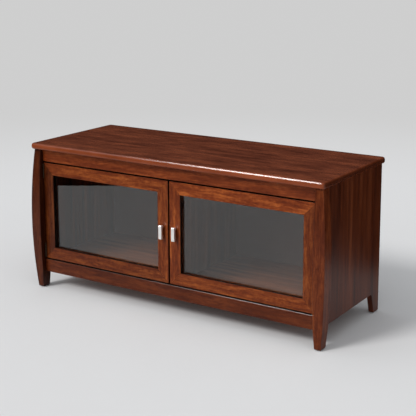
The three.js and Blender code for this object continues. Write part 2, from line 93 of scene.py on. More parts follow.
forward = Vector((
    -math.sin(camera_yaw) * math.cos(camera_pitch),
    math.cos(camera_yaw) * math.cos(camera_pitch),
    math.sin(camera_pitch),
))
level_right = Vector((math.cos(camera_yaw), math.sin(camera_yaw), 0.0))
level_up = level_right.cross(forward)
camera_right = level_right * math.cos(camera_roll) + level_up * math.sin(camera_roll)
camera_up = level_up * math.cos(camera_roll) - level_right * math.sin(camera_roll)
camera_data = bpy.data.cameras.new("studio_camera")
camera_data.sensor_width = SENSOR_WIDTH
camera_data.lens = focal_pixels * SENSOR_WIDTH / IMAGE_SIDE
camera_data.shift_x = (IMAGE_SIDE / 2 - view_centre[0]) / IMAGE_SIDE
camera_data.shift_y = (view_centre[1] - IMAGE_SIDE / 2) / IMAGE_SIDE
camera_data.clip_end = FARTHEST_SEEN
camera = add_object("studio_camera", camera_data)
camera.matrix_world = standing(camera_place, camera_right, camera_up, -forward)
scene.camera = camera
scene.view_settings.view_transform = "Standard"
print("lens %.2f mm, shift %.4f %.4f" % (camera_data.lens, camera_data.shift_x, camera_data.shift_y))

# %% [markdown]
# Nodes, values and colours
#
# Every finish below is a small tree of shader nodes. Such a tree can be wired by hand in the shader
# editor, but the same few steps come back in each one. So each step is a helper: a node with its inputs
# filled or linked, a sum, a value that a pattern moves up and down, a mask from one stretch of a value,
# a mix of two colours, and noise that is stretched along one direction.

# %% Helpers for values and colours
def add_node(tree, kind, inputs=None, **settings):
    made = tree.nodes.new(kind)
    for key, value in settings.items():
        setattr(made, key, value)
    for key, value in (inputs or {}).items():
        if isinstance(value, bpy.types.NodeSocket):
            tree.links.new(value, made.inputs[key])
        else:
            made.inputs[key].default_value = value
    return made


def calculate(tree, operation, first, second=0.0, clamp=False):
    maths = add_node(tree, "ShaderNodeMath", {0: first, 1: second}, operation=operation, use_clamp=clamp)
    return maths.outputs[0]


def vary(tree, base, pattern, amount, middle=0.0, clamp=False):
    """The base, moved by the amount times how far the pattern is from its middle."""
    if middle:
        pattern = calculate(tree, "SUBTRACT", pattern, middle)
    return calculate(tree, "ADD", base, calculate(tree, "MULTIPLY", pattern, amount), clamp)


def ramp(tree, value, start, end, low=0.0, high=1.0, **settings):
    """Low at the start, high at the end, an even change between the two and none beyond them."""
    return add_node(tree, "ShaderNodeMapRange", {
        "Value": value, "From Min": start, "From Max": end, "To Min": low, "To Max": high,
    }, **settings).outputs[0]


def agreement(tree, first, second):
    """How far two directions agree: 1 along each other, 0 square to each other."""
    product = add_node(tree, "ShaderNodeVectorMath", {0: first, 1: second}, operation="DOT_PRODUCT")
    return product.outputs["Value"]


def rgba(colour, share=1.0):
    return (*[channel * share for channel in colour[:3]], 1.0)


def mix_colours(tree, factor, first, second):
    # A Mix node set to colours takes them at inputs 6 and 7 and gives the mix at output 2
    mixer = add_node(tree, "ShaderNodeMix", {0: factor, 6: first, 7: second}, data_type="RGBA")
    return mixer.outputs[2]


def noise(tree, position, stretch, detail=2.0, roughness=0.5):
    """Soft random clouds. The stretch says how often they change in a metre along X, Y and Z."""
    placed = add_node(tree, "ShaderNodeMapping", {"Vector": position, "Scale": stretch})
    cloud = add_node(tree, "ShaderNodeTexNoise", {
        "Vector": placed.outputs[0], "Scale": 1.0, "Detail": detail, "Roughness": roughness,
    })
    return cloud.outputs["Fac"]


print("value helpers ready")

# %% [markdown]
# Groups and materials
#
# An effect that several finishes share, such as grain or wear, could be copied into each of them. A node
# group holds it once, and each finish gives it values of its own. The other helpers start a material,
# read the place on a solid in the solid's own directions, and raise a fine relief on the surface.

# %% Helpers for groups and materials
def new_group(name, inputs, outputs):
    tree = bpy.data.node_groups.new(name, "ShaderNodeTree")
    for label, kind, value in inputs:
        socket = tree.interface.new_socket(label, in_out="INPUT", socket_type="NodeSocket" + kind)
        if kind != "Vector":
            socket.default_value = value
    for label, kind in outputs:
        tree.interface.new_socket(label, in_out="OUTPUT", socket_type="NodeSocket" + kind)
    return tree, tree.nodes.new("NodeGroupInput").outputs, tree.nodes.new("NodeGroupOutput").inputs


def use_group(tree, group, inputs):
    return add_node(tree, "ShaderNodeGroup", inputs, node_tree=group).outputs


def new_material(name):
    material = bpy.data.materials.new(name)
    material.use_nodes = True
    tree = material.node_tree
    return material, tree, tree.nodes["Principled BSDF"]


def own_place(tree):
    return add_node(tree, "ShaderNodeTexCoord").outputs["Object"]


def add_relief(tree, shader, height, strength, depth, normal=None):
    bump = add_node(tree, "ShaderNodeBump", {"Height": height, "Strength": strength, "Distance": depth})
    if normal is not None:
        tree.links.new(normal, bump.inputs["Normal"])
    tree.links.new(bump.outputs[0], shader.inputs["Normal"])


def finish_node(name, material):
    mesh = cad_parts[name].data
    if not mesh.materials:
        mesh.materials.append(material)
    for index in range(len(mesh.materials)):
        mesh.materials[index] = material


print("group helpers ready")

# %% [markdown]
# The grain of the wood
#
# The cabinet is cherry-like wood, stained red-brown. Seen from a step away it has long soft bands, fine
# streaks along the board, a slight mottle where the stain took unevenly, and boards or veneer leaves
# that differ a little in tone. A photograph of wood could be wrapped round each part, but a pattern made
# from noise, stretched along the grain, runs through the part like real wood and needs no wrapping.
# The group expects the grain to run along its X. A slow drift bends the position sideways first, so that
# no line runs dead straight.

# %% The patterns inside the grain group
WHITE = (1.0, 1.0, 1.0, 1.0)
HALF = 0.5
DRIFT_STRETCH = (2.4, 6.0, 6.0)
DRIFT_WIDTH = 0.06
# How often a pattern changes in a metre along the board and across it, its detail and its roughness
GRAIN_PATTERNS = {
    "bands": (3.2, 46.0, 3.0, 0.55),
    "streaks": (11.0, 210.0, 4.0, 0.6),
    "fibres": (26.0, 1300.0, 2.0, 0.5),
    "mottle": (24.0, 62.0, 3.0, 0.6),
    "curl": (70.0, 48.0, 2.0, 0.55),
    "flecks": (34.0, 520.0, 2.0, 0.5),
    "pores": (70.0, 2100.0, 1.0, 0.5),
}
grain, grain_in, grain_out = new_group(
    "wood_grain",
    [
        ("Position", "Vector", None),
        ("Dark", "Color", WHITE),
        ("Middle", "Color", WHITE),
        ("Light", "Color", WHITE),
        ("Figure", "Float", 1.0),
        ("Mottle", "Float", 0.4),
        ("Curl", "Float", 0.3),
        ("Board Width", "Float", 0.09),
        ("Board Contrast", "Float", 0.15),
        ("Base Roughness", "Float", 0.34),
    ],
    [("Color", "Color"), ("Roughness", "Float"), ("Height", "Float")],
)
drift = noise(grain, grain_in["Position"], DRIFT_STRETCH, detail=3.0)
sideways = vary(grain, 0.0, drift, DRIFT_WIDTH, HALF)
sway = add_node(grain, "ShaderNodeCombineXYZ", {"Y": sideways, "Z": sideways}).outputs[0]
bent = add_node(
    grain, "ShaderNodeVectorMath", {0: grain_in["Position"], 1: sway}, operation="ADD").outputs[0]
patterns = {}
for name, (along, across, detail, roughness) in GRAIN_PATTERNS.items():
    patterns[name] = noise(grain, bent, (along, across, across), detail, roughness)
print("grain patterns:", len(patterns))

# %% [markdown]
# Boards that differ in tone
#
# A wide panel is glued up from boards, or faced with leaves of veneer, and no two take the stain quite
# alike. Each board could be a mesh of its own. It is enough to cut the position into strips as wide as a
# board and to draw one fixed tone for each strip.

# %% One tone for each board
apart = add_node(grain, "ShaderNodeSeparateXYZ", {0: grain_in["Position"]}).outputs
board_y = calculate(grain, "FLOOR", calculate(grain, "DIVIDE", apart["Y"], grain_in["Board Width"]))
board_z = calculate(grain, "FLOOR", calculate(grain, "DIVIDE", apart["Z"], grain_in["Board Width"]))
board = add_node(grain, "ShaderNodeCombineXYZ", {"X": board_y, "Y": board_z}).outputs[0]
board_draw = add_node(grain, "ShaderNodeTexWhiteNoise", {"Vector": board}, noise_dimensions="3D")
board_tone = board_draw.outputs["Value"]
print("grain nodes so far:", len(grain.nodes))

# %% [markdown]
# From patterns to stained wood
#
# Stain lies darker where the wood drinks more, and the open pores hold the most of it. The patterns
# could each tint the wood in turn. Adding them into a single tone first, and reading the colour from
# dark to middle to light by that tone, keeps every spot inside the range of the real finish. The same
# patterns make the lacquer slightly uneven and the pores slightly sunken.

# %% Mix the patterns into colour, gloss and relief
FIGURE_WEIGHTS = {"bands": 1.5, "streaks": 0.9}
FIBRE_WEIGHT = 0.25
PORE_LIMITS = (0.6, 0.72)
FLECK_LIMITS = (0.58, 0.74)
FLECK_SHARE = 0.9
PORE_STAIN = 0.45
GLOSS_WEIGHTS = {"streaks": 0.12, "mottle": 0.08}
RELIEF_WEIGHTS = {"streaks": 0.5, "fibres": 0.3}
PORE_SINK = -0.5

figure = 0.0
for name, weight in FIGURE_WEIGHTS.items():
    figure = vary(grain, figure, patterns[name], weight, HALF)
tone = vary(grain, HALF, figure, grain_in["Figure"])
tone = vary(grain, tone, patterns["mottle"], grain_in["Mottle"], HALF)
tone = vary(grain, tone, patterns["curl"], grain_in["Curl"], HALF)
tone = vary(grain, tone, board_tone, grain_in["Board Contrast"], HALF)
tone = vary(grain, tone, patterns["fibres"], FIBRE_WEIGHT, HALF, clamp=True)
stain = mix_colours(grain, ramp(grain, tone, 0.0, HALF), grain_in["Dark"], grain_in["Middle"])
stain = mix_colours(grain, ramp(grain, tone, HALF, 1.0), stain, grain_in["Light"])
open_pores = ramp(grain, patterns["pores"], *PORE_LIMITS)
open_flecks = ramp(grain, patterns["flecks"], *FLECK_LIMITS)
open_flecks = calculate(grain, "MULTIPLY", open_flecks, FLECK_SHARE)
open_pores = calculate(grain, "MAXIMUM", open_pores, open_flecks)
stain = mix_colours(grain, calculate(grain, "MULTIPLY", open_pores, PORE_STAIN), stain, grain_in["Dark"])
grain.links.new(stain, grain_out["Color"])

sheen = grain_in["Base Roughness"]
for name, weight in GLOSS_WEIGHTS.items():
    sheen = vary(grain, sheen, patterns[name], weight, HALF)
grain.links.new(sheen, grain_out["Roughness"])

height = vary(grain, 0.0, open_pores, PORE_SINK)
for name, weight in RELIEF_WEIGHTS.items():
    height = vary(grain, height, patterns[name], weight)
grain.links.new(height, grain_out["Height"])
print("grain nodes:", len(grain.nodes))

# %% [markdown]
# Rubbed edges
#
# Sanding between coats takes a little colour off every sharp edge, and hands polish it further. It could
# be painted along each edge by hand. The Bevel node is quicker: it gives the normal that the surface
# would have with rounder edges. Where that differs from the real normal there is an edge, so the
# difference makes a mask that works on any solid.

# %% Edge wear as a node group
EDGE_REACH = 0.0016
# The two normals agree this well where the edge starts, and where it is fully worn
EDGE_LIMITS = (0.995, 0.86)
PATCH_STRETCH = (45.0, 45.0, 45.0)
PATCH_LIMITS = (0.35, 0.65)
wear, wear_in, wear_out = new_group(
    "edge_wear",
    [("Position", "Vector", None), ("Amount", "Float", 1.0)],
    [("Mask", "Float")],
)
rounder = add_node(wear, "ShaderNodeBevel", {"Radius": EDGE_REACH}, samples=4).outputs[0]
flat = add_node(wear, "ShaderNodeNewGeometry").outputs["Normal"]
edge = ramp(wear, agreement(wear, rounder, flat), *EDGE_LIMITS)
patches = noise(wear, wear_in["Position"], PATCH_STRETCH, detail=3.0, roughness=0.6)
broken_edge = calculate(wear, "MULTIPLY", edge, ramp(wear, patches, *PATCH_LIMITS))
wear.links.new(calculate(wear, "MULTIPLY", broken_edge, wear_in["Amount"]), wear_out["Mask"])
print("edge wear nodes:", len(wear.nodes))

# %% [markdown]
# Dust
#
# A thin veil of dust lies on faces that look up, thicker in some places than in others. It could be a
# layer of specks, but at this distance nobody sees one speck. A mask is enough: the upward part of the
# normal, broken up by noise. It makes the lacquer paler and duller.

# %% Dust as a node group
UPWARD_LIMITS = (0.5, 1.0)
VEIL_STRETCH = (9.0, 9.0, 9.0)
dust, dust_in, dust_out = new_group(
    "settled_dust",
    [("Position", "Vector", None), ("Amount", "Float", 0.05)],
    [("Mask", "Float")],
)
facing = add_node(dust, "ShaderNodeNewGeometry").outputs["Normal"]
upward = add_node(dust, "ShaderNodeSeparateXYZ", {0: facing}).outputs["Z"]
veil = noise(dust, dust_in["Position"], VEIL_STRETCH, detail=5.0, roughness=0.65)
settled_veil = calculate(dust, "MULTIPLY", ramp(dust, upward, *UPWARD_LIMITS), veil)
dust.links.new(calculate(dust, "MULTIPLY", settled_veil, dust_in["Amount"]), dust_out["Mask"])
print("dust nodes:", len(dust.nodes))

# %% [markdown]
# Painted shade and light on edges
#
# The edges of the frames, which face the gaps and the glass, are painted dark, nearly black, as shade,
# so the gaps between the doors read as black lines. On the top it is the other way round: its rounded
# edge is painted lighter and more orange, as painted light where the lamp falls on it. The edge faces
# could be picked out one by one. Here the normal finds them: a face looks along the axis through the
# thickness of its board, and an edge looks away from it. With Two Sided at 0, only what looks along the
# axis itself counts as a face, and the opposite side is painted like an edge. End grain, where the
# fibres are cut across, drinks the most stain of all, so it has a mask of its own.

# %% Painted edge shade and light, with end-grain stain, as a node group
FACE_FROM = 0.93
EDGE_BELOW = 0.6
END_GRAIN_FROM = 0.5
END_GRAIN_SHARE = 0.8
painted_edge_light_and_stain, edge_group_in, edge_group_out = new_group(
    "painted_edge_light_and_stain",
    [
        ("Normal", "Vector", None),
        ("Board Axis", "Vector", None),
        ("Grain Axis", "Vector", None),
        ("Two Sided", "Float", 1.0),
        ("Amount", "Float", 0.5),
    ],
    [("Mask", "Float"), ("End Grain", "Float")],
)
along_axis = agreement(painted_edge_light_and_stain, edge_group_in["Normal"], edge_group_in["Board Axis"])
either_way = calculate(painted_edge_light_and_stain, "ABSOLUTE", along_axis)
either_way = calculate(painted_edge_light_and_stain, "MULTIPLY", either_way, edge_group_in["Two Sided"])
face_share = calculate(painted_edge_light_and_stain, "MAXIMUM", along_axis, either_way)
# This mask carries painted shade on the edges of frames and legs, and painted light on the edge of the
# top
edge_share = ramp(painted_edge_light_and_stain, face_share, FACE_FROM, EDGE_BELOW)
painted_edge_light_and_stain.links.new(calculate(painted_edge_light_and_stain, "MULTIPLY", edge_share, edge_group_in["Amount"]), edge_group_out["Mask"])
along_grain = agreement(painted_edge_light_and_stain, edge_group_in["Normal"], edge_group_in["Grain Axis"])
along_grain = calculate(painted_edge_light_and_stain, "ABSOLUTE", along_grain)
end_share = ramp(painted_edge_light_and_stain, along_grain, END_GRAIN_FROM, 1.0, high=END_GRAIN_SHARE)
painted_edge_light_and_stain.links.new(end_share, edge_group_out["End Grain"])
print("edge stain nodes:", len(painted_edge_light_and_stain.nodes))

# %% [markdown]
# Wood finishes
#
# The parts were stained to match, but not perfectly: the door frames came out more amber, the rails and
# legs redder, the top darker with a cloudy figure, the sides darkest and in clear vertical strips, and
# the inside paler and duller. The sides are darkest partly as painted shade, for the side that the lamps
# light least. One wood could serve all of them, but it would look like plastic foil. So each has its own
# entry in a table. Figure, mottle and curl say how strong these patterns are, board and contrast how
# wide the boards are and how far they differ. Stretch makes the whole pattern finer where it is above 1.
# Gloss is the roughness of the lacquer, ease the radius of the softened edges, and wear the share of
# rubbed edge. Edges gives the painted shade or light on the edge faces: black on the frames, orange on
# the top. Each leg takes the finish of the rails with painted shade on its inner sides.

# %% The table of wood finishes
BLACK = (0.0, 0.0, 0.0)
# Edges of frame members are painted black as shade in the gaps and around the glass
board_edges = dict(axis=(0.0, 1.0, 0.0), two_sided=1.0, colour=BLACK)
wood_finishes = {
    "top": dict(
        dark=(0.060, 0.0135, 0.0070), middle=(0.154, 0.0395, 0.0190), light=(0.260, 0.069, 0.0300),
        figure=0.65, mottle=1.6, curl=0.3, board=0.12, contrast=0.12, stretch=(0.3, 0.45, 0.45),
        gloss=0.24, specular=0.2, relief=0.015, ease=0.004, wear=0.1,
        # The rounded edge of the top is painted orange, as painted light where the lamp falls on it
        edges=dict(axis=(0.0, 0.0, 1.0), two_sided=1.0, amount=0.4, colour=(0.31, 0.056, 0.006))),
    "rail": dict(
        dark=(0.046, 0.0066, 0.0018), middle=(0.116, 0.0215, 0.0048), light=(0.222, 0.051, 0.0118),
        figure=0.95, mottle=0.6, curl=0.2, board=0.2, contrast=0.05, stretch=(1.9, 1.6, 1.6),
        gloss=0.30, specular=0.15, relief=0.12, ease=0.001, wear=0.3,
        edges=dict(board_edges, amount=0.9)),
    "door": dict(
        dark=(0.062, 0.0090, 0.0022), middle=(0.157, 0.0295, 0.0055), light=(0.330, 0.084, 0.0165),
        figure=1.1, mottle=0.7, curl=0.35, board=0.2, contrast=0.05, stretch=(2.4, 1.9, 1.9),
        gloss=0.30, specular=0.15, relief=0.12, ease=0.001, wear=0.3,
        edges=dict(board_edges, amount=0.96)),
    # The side finish is painted darker, partly as shade on the side that the lamps light least
    "side": dict(
        dark=(0.030, 0.0045, 0.0008), middle=(0.082, 0.0145, 0.0024), light=(0.156, 0.0350, 0.0080),
        figure=1.1, mottle=0.4, curl=0.15, board=0.075, contrast=0.32, stretch=(0.4, 1.0, 1.0),
        gloss=0.36, specular=0.22, relief=0.12, ease=0.001, wear=0.2),
    "inside": dict(
        dark=(0.060, 0.019, 0.0085), middle=(0.130, 0.044, 0.0200), light=(0.220, 0.080, 0.0400),
        figure=0.9, mottle=0.6, curl=0.2, board=0.11, contrast=0.15, stretch=(0.5, 1.0, 1.0),
        gloss=0.46, specular=0.3, relief=0.12, ease=0.001, wear=0.1),
}
# The axis of a leg leans to its outer side and is long enough that the front and the outer side both
# count as faces, which leaves the two inner sides as edges, painted darker as shade
LEG_OUTWARD = 0.96
LEG_FORWARD = -1.28
for side, sign, inner_painted_shade in (("left", -1, 0.5), ("right", 1, 0.8)):
    leg_axis = (sign * LEG_OUTWARD, LEG_FORWARD, 0.0)
    wood_finishes[side + "_leg"] = dict(
        wood_finishes["rail"],
        edges=dict(axis=leg_axis, two_sided=0.0, amount=inner_painted_shade, colour=BLACK))
print("wood finishes:", ", ".join(wood_finishes))

# %% [markdown]
# One wood material
#
# The grain follows the long way of each part. Every part could have texture coordinates that are laid
# out by hand. It is simpler to turn the position that the grain group reads, so that its X runs along the
# board. Rubbed edges, painted shade or light on the edge faces with the darker stain of end grain, and
# dust then cover the grain one after another. The shade makes one board as a whole darker or lighter; set
# per member, it is partly the board's own tone and partly painted light. The Bevel node eases the edges,
# which are sharp in the solids, so that they catch a thin line of light.

# %% A wood material for one finish, direction and shade
DUST_COLOUR = (0.42, 0.39, 0.36, 1.0)
DUST_AMOUNT = 0.01
DUST_DULLING = 1.5
RUBBED_LIFT = 1.5
END_GRAIN_SHADE = 0.5
PORE_DEPTH = 0.0004
GRAIN_TURNS = {"X": (0.0, 0.0, 0.0), "Z": (0.0, math.pi / 2, 0.0)}
GRAIN_AXES = {"X": (1.0, 0.0, 0.0), "Z": (0.0, 0.0, 1.0)}
wood_materials = {}


def wood_material(finish, direction, shade=1.0):
    recipe = (finish, direction, shade)
    if recipe in wood_materials:
        return wood_materials[recipe]
    values = wood_finishes[finish]
    dark, middle, light = [rgba(values[tone], shade) for tone in ("dark", "middle", "light")]
    material, tree, shader = new_material(
        "%s_wood_grain_%s_%d" % (finish, direction.lower(), round(100 * shade)))
    local = add_node(tree, "ShaderNodeTexCoord").outputs
    place = local["Object"]
    turned = add_node(
        tree, "ShaderNodeMapping", {"Vector": place, "Rotation": GRAIN_TURNS[direction]}).outputs[0]
    turned = add_node(
        tree, "ShaderNodeMapping", {"Vector": turned, "Scale": values["stretch"]}).outputs[0]
    wood = use_group(tree, grain, {
        "Position": turned,
        "Dark": dark,
        "Middle": middle,
        "Light": light,
        "Figure": values["figure"],
        "Mottle": values["mottle"],
        "Curl": values["curl"],
        "Board Width": values["board"],
        "Board Contrast": values["contrast"],
        "Base Roughness": values["gloss"],
    })
    worn_edge = use_group(tree, wear, {"Position": place, "Amount": values["wear"]})["Mask"]
    settled = use_group(tree, dust, {"Position": place, "Amount": DUST_AMOUNT})["Mask"]
    colour = mix_colours(tree, worn_edge, wood["Color"], rgba(light, RUBBED_LIFT))
    if "edges" in values:
        edges = values["edges"]
        edge_light_and_stain = use_group(tree, painted_edge_light_and_stain, {
            "Normal": local["Normal"],
            "Board Axis": edges["axis"],
            "Grain Axis": GRAIN_AXES[direction],
            "Two Sided": edges["two_sided"],
            "Amount": edges["amount"],
        })
        # Painted shade on the edges of frames and legs, painted light on the rounded edge of the top
        colour = mix_colours(tree, edge_light_and_stain["Mask"], colour, rgba(edges["colour"]))
        colour = mix_colours(tree, edge_light_and_stain["End Grain"], colour, rgba(dark, END_GRAIN_SHADE))
    colour = mix_colours(tree, settled, colour, DUST_COLOUR)
    tree.links.new(colour, shader.inputs["Base Color"])
    dulled = vary(tree, wood["Roughness"], settled, DUST_DULLING)
    tree.links.new(dulled, shader.inputs["Roughness"])
    eased = add_node(tree, "ShaderNodeBevel", {"Radius": values["ease"]}, samples=8).outputs[0]
    add_relief(tree, shader, wood["Height"], values["relief"], PORE_DEPTH, eased)
    shader.inputs["Specular IOR Level"].default_value = values["specular"]
    wood_materials[recipe] = material
    return material


print("rotations ready for grain along", ", ".join(GRAIN_TURNS))

# %% [markdown]
# Wood for every part
#
# No two members of a frame come from the same board, so each takes the stain a little differently. One
# shade for all would make the doors look like a single moulding. The shades were read from the
# photograph, member by member, where 1 is the colour of the finish, so they are partly painted light:
# the upper rails are lighter and the lower ones darker as the light falls from above, the rail under the
# top is lighter to make up for the shade that the top casts on it, and the outer stile of the left door
# is darker where the leg shades it. The deck is painted lighter than the rest of the inside, as light
# that falls on it through the glass. A bead is cut from the wood of the member that it lies against.

# %% Give each part its wood
# Per member: partly each board's own tone, partly painted light, lighter high up and darker low down and
# in the leg's shade
member_tones_and_painted_light = {
    "left_door_outer_stile": 0.42, "left_door_inner_stile": 0.9,
    "left_door_top_rail": 1.0, "left_door_bottom_rail": 0.74,
    "right_door_outer_stile": 0.8, "right_door_inner_stile": 1.08,
    "right_door_top_rail": 1.25, "right_door_bottom_rail": 0.96,
    "left_front_leg": 0.53, "right_front_leg": 0.86,
    "top_front_rail": 1.4, "bottom_front_rail": 0.74,
}
# The deck is painted lighter than the rest of the inside, as light falling on it through the glass
DECK_PAINTED_LIGHT = 1.4
DOOR_MEMBERS = {"outer_stile": "Z", "inner_stile": "Z", "top_rail": "X", "bottom_rail": "X"}
finish_node("top_panel", wood_material("top", "X"))
for side in SIDES:
    leg = side + "_front_leg"
    finish_node(leg, wood_material(side + "_leg", "Z", member_tones_and_painted_light[leg]))
    finish_node(side + "_side_panel", wood_material("side", "Z"))
    for part, direction in DOOR_MEMBERS.items():
        member = "%s_door_%s" % (side, part)
        member_wood = wood_material("door", direction, member_tones_and_painted_light[member])
        finish_node(member, member_wood)
        finish_node("%s_door_%s_bead" % (side, part.split("_")[0]), member_wood)
for name in ("top_front_rail", "bottom_front_rail"):
    finish_node(name, wood_material("rail", "X", member_tones_and_painted_light[name]))
finish_node("middle_foot", wood_material("side", "Z"))
for name in ("top_rear_rail", "bottom_rear_rail"):
    finish_node(name, wood_material("inside", "X"))
finish_node("bottom_panel", wood_material("inside", "X", DECK_PAINTED_LIGHT))
finish_node("centre_divider", wood_material("inside", "Z"))
print("wood materials:", sorted(material.name for material in wood_materials.values()))

# %% [markdown]
# The back board
#
# Backs like this are thin brown fibreboard. It could borrow the wood of the inside, but it has no grain,
# only short matted fibres and a slightly glazed face, so two sizes of plain noise are enough.

# %% Fibreboard
MAT_DARK = (0.110, 0.0560, 0.0430, 1.0)
MAT_LIGHT = (0.160, 0.0850, 0.0660, 1.0)
CLOUD_BROWN = (0.130, 0.068, 0.053, 1.0)
CLOUD_SHARE = 0.3
MAT_LIMITS = (0.35, 0.7)
board_material, tree, shader = new_material("brown_fibreboard")
place = own_place(tree)
fibre_ends = noise(tree, place, (420.0, 420.0, 420.0), detail=4.0, roughness=0.7)
clouds = noise(tree, place, (7.0, 7.0, 7.0), detail=3.0)
clouds = calculate(tree, "MULTIPLY", clouds, CLOUD_SHARE)
matted = mix_colours(tree, ramp(tree, fibre_ends, *MAT_LIMITS), MAT_DARK, MAT_LIGHT)
tree.links.new(mix_colours(tree, clouds, matted, CLOUD_BROWN), shader.inputs["Base Color"])
tree.links.new(vary(tree, 0.5, fibre_ends, amount=0.25), shader.inputs["Roughness"])
add_relief(tree, shader, fibre_ends, strength=0.1, depth=0.0002)
finish_node("back_panel", board_material)
print("finish:", board_material.name)

# %% [markdown]
# Glass
#
# The panes are clear float glass, 4 mm thick. They let the dark inside show and mirror the pale floor,
# and a light film of wiping marks keeps the mirror image from being perfect. A flat sheet with a mirror
# mixed in could stand for a pane. This pane is a real solid with two faces, so plain transmission with
# the right index gives both reflections. Light from a lamp would hardly find its way through two such
# faces, so rays on the way to a lamp pass straight through, slightly dimmed.

# %% Glass panes
GLASS_INDEX = 1.52
GLASS_TINTS = ((0.90, 0.94, 0.92, 1.0), (0.94, 0.96, 0.95, 1.0))
LAMP_TINT = (0.80, 0.81, 0.80, 1.0)
SMEAR_LIMITS = (0.45, 0.75)
SMEAR_ROUGHNESS = 0.012


def mix_shaders(tree, share, first, second):
    return add_node(tree, "ShaderNodeMixShader", {0: share, 1: first, 2: second}).outputs[0]


def set_surface(tree, surface):
    tree.links.new(surface, tree.nodes["Material Output"].inputs["Surface"])


glass_material, tree, shader = new_material("clear_pane")
film = noise(tree, own_place(tree), (5.0, 5.0, 11.0), detail=4.0, roughness=0.6)
smears = ramp(tree, film, *SMEAR_LIMITS, high=SMEAR_ROUGHNESS)
tree.links.new(smears, shader.inputs["Roughness"])
tree.links.new(mix_colours(tree, film, *GLASS_TINTS), shader.inputs["Base Color"])
shader.inputs["Transmission Weight"].default_value = 1.0
shader.inputs["IOR"].default_value = GLASS_INDEX
to_lamp = add_node(tree, "ShaderNodeLightPath").outputs["Is Shadow Ray"]
clear = add_node(tree, "ShaderNodeBsdfTransparent", {"Color": LAMP_TINT}).outputs[0]
set_surface(tree, mix_shaders(tree, to_lamp, shader.outputs[0], clear))
for side in SIDES:
    finish_node(side + "_door_glass", glass_material)
print("finish:", glass_material.name)

# %% [markdown]
# Metals
#
# The pulls are satin nickel, brushed along their length. The hinges are dark bronze, rubbed brighter at
# their edges, and the pull screws and strike plates are zinc plated. Each metal could have a tree of its
# own, but they differ only in colour, brushing and wear, so one helper makes all three.

# %% Metal finishes
TARNISH_STRETCH = (60.0, 60.0, 60.0)
TARNISH_SHARE = 0.35
TARNISH_SHADE = 0.82
BRUSH_ROUGHNESS = 0.2


def metal_material(name, base, bright, roughness, brush, worn):
    material, tree, shader = new_material(name)
    place = own_place(tree)
    lines = noise(tree, place, brush, detail=3.0, roughness=0.6)
    tarnish = noise(tree, place, TARNISH_STRETCH, detail=3.0, roughness=0.6)
    tarnish = calculate(tree, "MULTIPLY", tarnish, TARNISH_SHARE)
    worn_edge = use_group(tree, wear, {"Position": place, "Amount": worn})["Mask"]
    varied = mix_colours(tree, tarnish, rgba(base), rgba(base, TARNISH_SHADE))
    tree.links.new(mix_colours(tree, worn_edge, varied, rgba(bright)), shader.inputs["Base Color"])
    shader.inputs["Metallic"].default_value = 1.0
    tree.links.new(vary(tree, roughness, lines, BRUSH_ROUGHNESS, HALF), shader.inputs["Roughness"])
    add_relief(tree, shader, lines, strength=0.1, depth=0.0001)
    return material


nickel_material = metal_material(
    "satin_nickel", base=(0.90, 0.885, 0.86), bright=(0.95, 0.94, 0.92),
    roughness=0.40, brush=(2600.0, 2600.0, 60.0), worn=0.4)
bronze_material = metal_material(
    "dark_bronze", base=(0.045, 0.029, 0.020), bright=(0.20, 0.13, 0.08),
    roughness=0.45, brush=(900.0, 900.0, 200.0), worn=0.5)
zinc_material = metal_material(
    "zinc_plate", base=(0.50, 0.51, 0.52), bright=(0.72, 0.72, 0.72),
    roughness=0.38, brush=(500.0, 500.0, 500.0), worn=0.5)
for side in SIDES:
    finish_node(side + "_door_pull", nickel_material)
    finish_node(side + "_door_strike", zinc_material)
    for level in ("upper", "lower"):
        finish_node("%s_door_%s_screw" % (side, level), zinc_material)
        for leaf in ("leg_leaf", "door_leaf", "pin"):
            finish_node("%s_%s_hinge_%s" % (side, level, leaf), bronze_material)
print("finishes:", nickel_material.name, bronze_material.name, zinc_material.name)

# %% [markdown]
# Plastic
#
# The catches and the glides under the feet are brown moulded plastic. A smooth brown would do from far
# off. Close up, such mouldings have a fine grainy skin from the sparks that cut the mould, and faint
# cloudy lines where the plastic flowed, so there is a noise for each.

# %% Brown moulded plastic
MOULDED_BROWNS = ((0.020, 0.0125, 0.0085, 1.0), (0.034, 0.0215, 0.0150, 1.0))
plastic_material, tree, shader = new_material("brown_moulding")
place = own_place(tree)
skin = noise(tree, place, (1800.0, 1800.0, 1800.0))
flow = noise(tree, place, (90.0, 90.0, 30.0))
tree.links.new(mix_colours(tree, flow, *MOULDED_BROWNS), shader.inputs["Base Color"])
tree.links.new(vary(tree, 0.42, skin, amount=0.2), shader.inputs["Roughness"])
add_relief(tree, shader, skin, strength=0.3, depth=0.0001)
finish_node("middle_glide", plastic_material)
for side in SIDES:
    for part in ("front_glide", "rear_glide", "catch"):
        finish_node("%s_%s" % (side, part), plastic_material)
print("finish:", plastic_material.name)

# %% [markdown]
# Screws that hold the fittings
#
# Countersunk screws hold the hinge leaves and the strike plates, and pan-head screws hold the catches and
# the back board. They are too small for the solids, so they are made here. A screw head could be a disc
# with a picture of a cross on it. Here the cross is a real recess: the surface between the rim and a
# cross-shaped mouth is filled with triangles, and sloping walls lead from the mouth down to a smaller
# cross.

# %% One screw head with a cross recess
RIM_CORNERS = 28
# Reach and half width of the cross, as shares of the radius
MOUTH_SHARES = (0.52, 0.12)
PIT_SHARES = (0.34, 0.07)


def rim(radius, height):
    turns = [2 * math.pi * corner / RIM_CORNERS for corner in range(RIM_CORNERS)]
    return [(radius * math.cos(turn), radius * math.sin(turn), height) for turn in turns]


def cross(reach, half_width, height):
    corners = []
    for quarter in range(4):
        turn = Matrix.Rotation(quarter * math.pi / 2, 3, "Z")
        for x, y in ((reach, -half_width), (reach, half_width), (half_width, half_width)):
            corners.append(turn @ Vector((x, y, height)))
    return corners


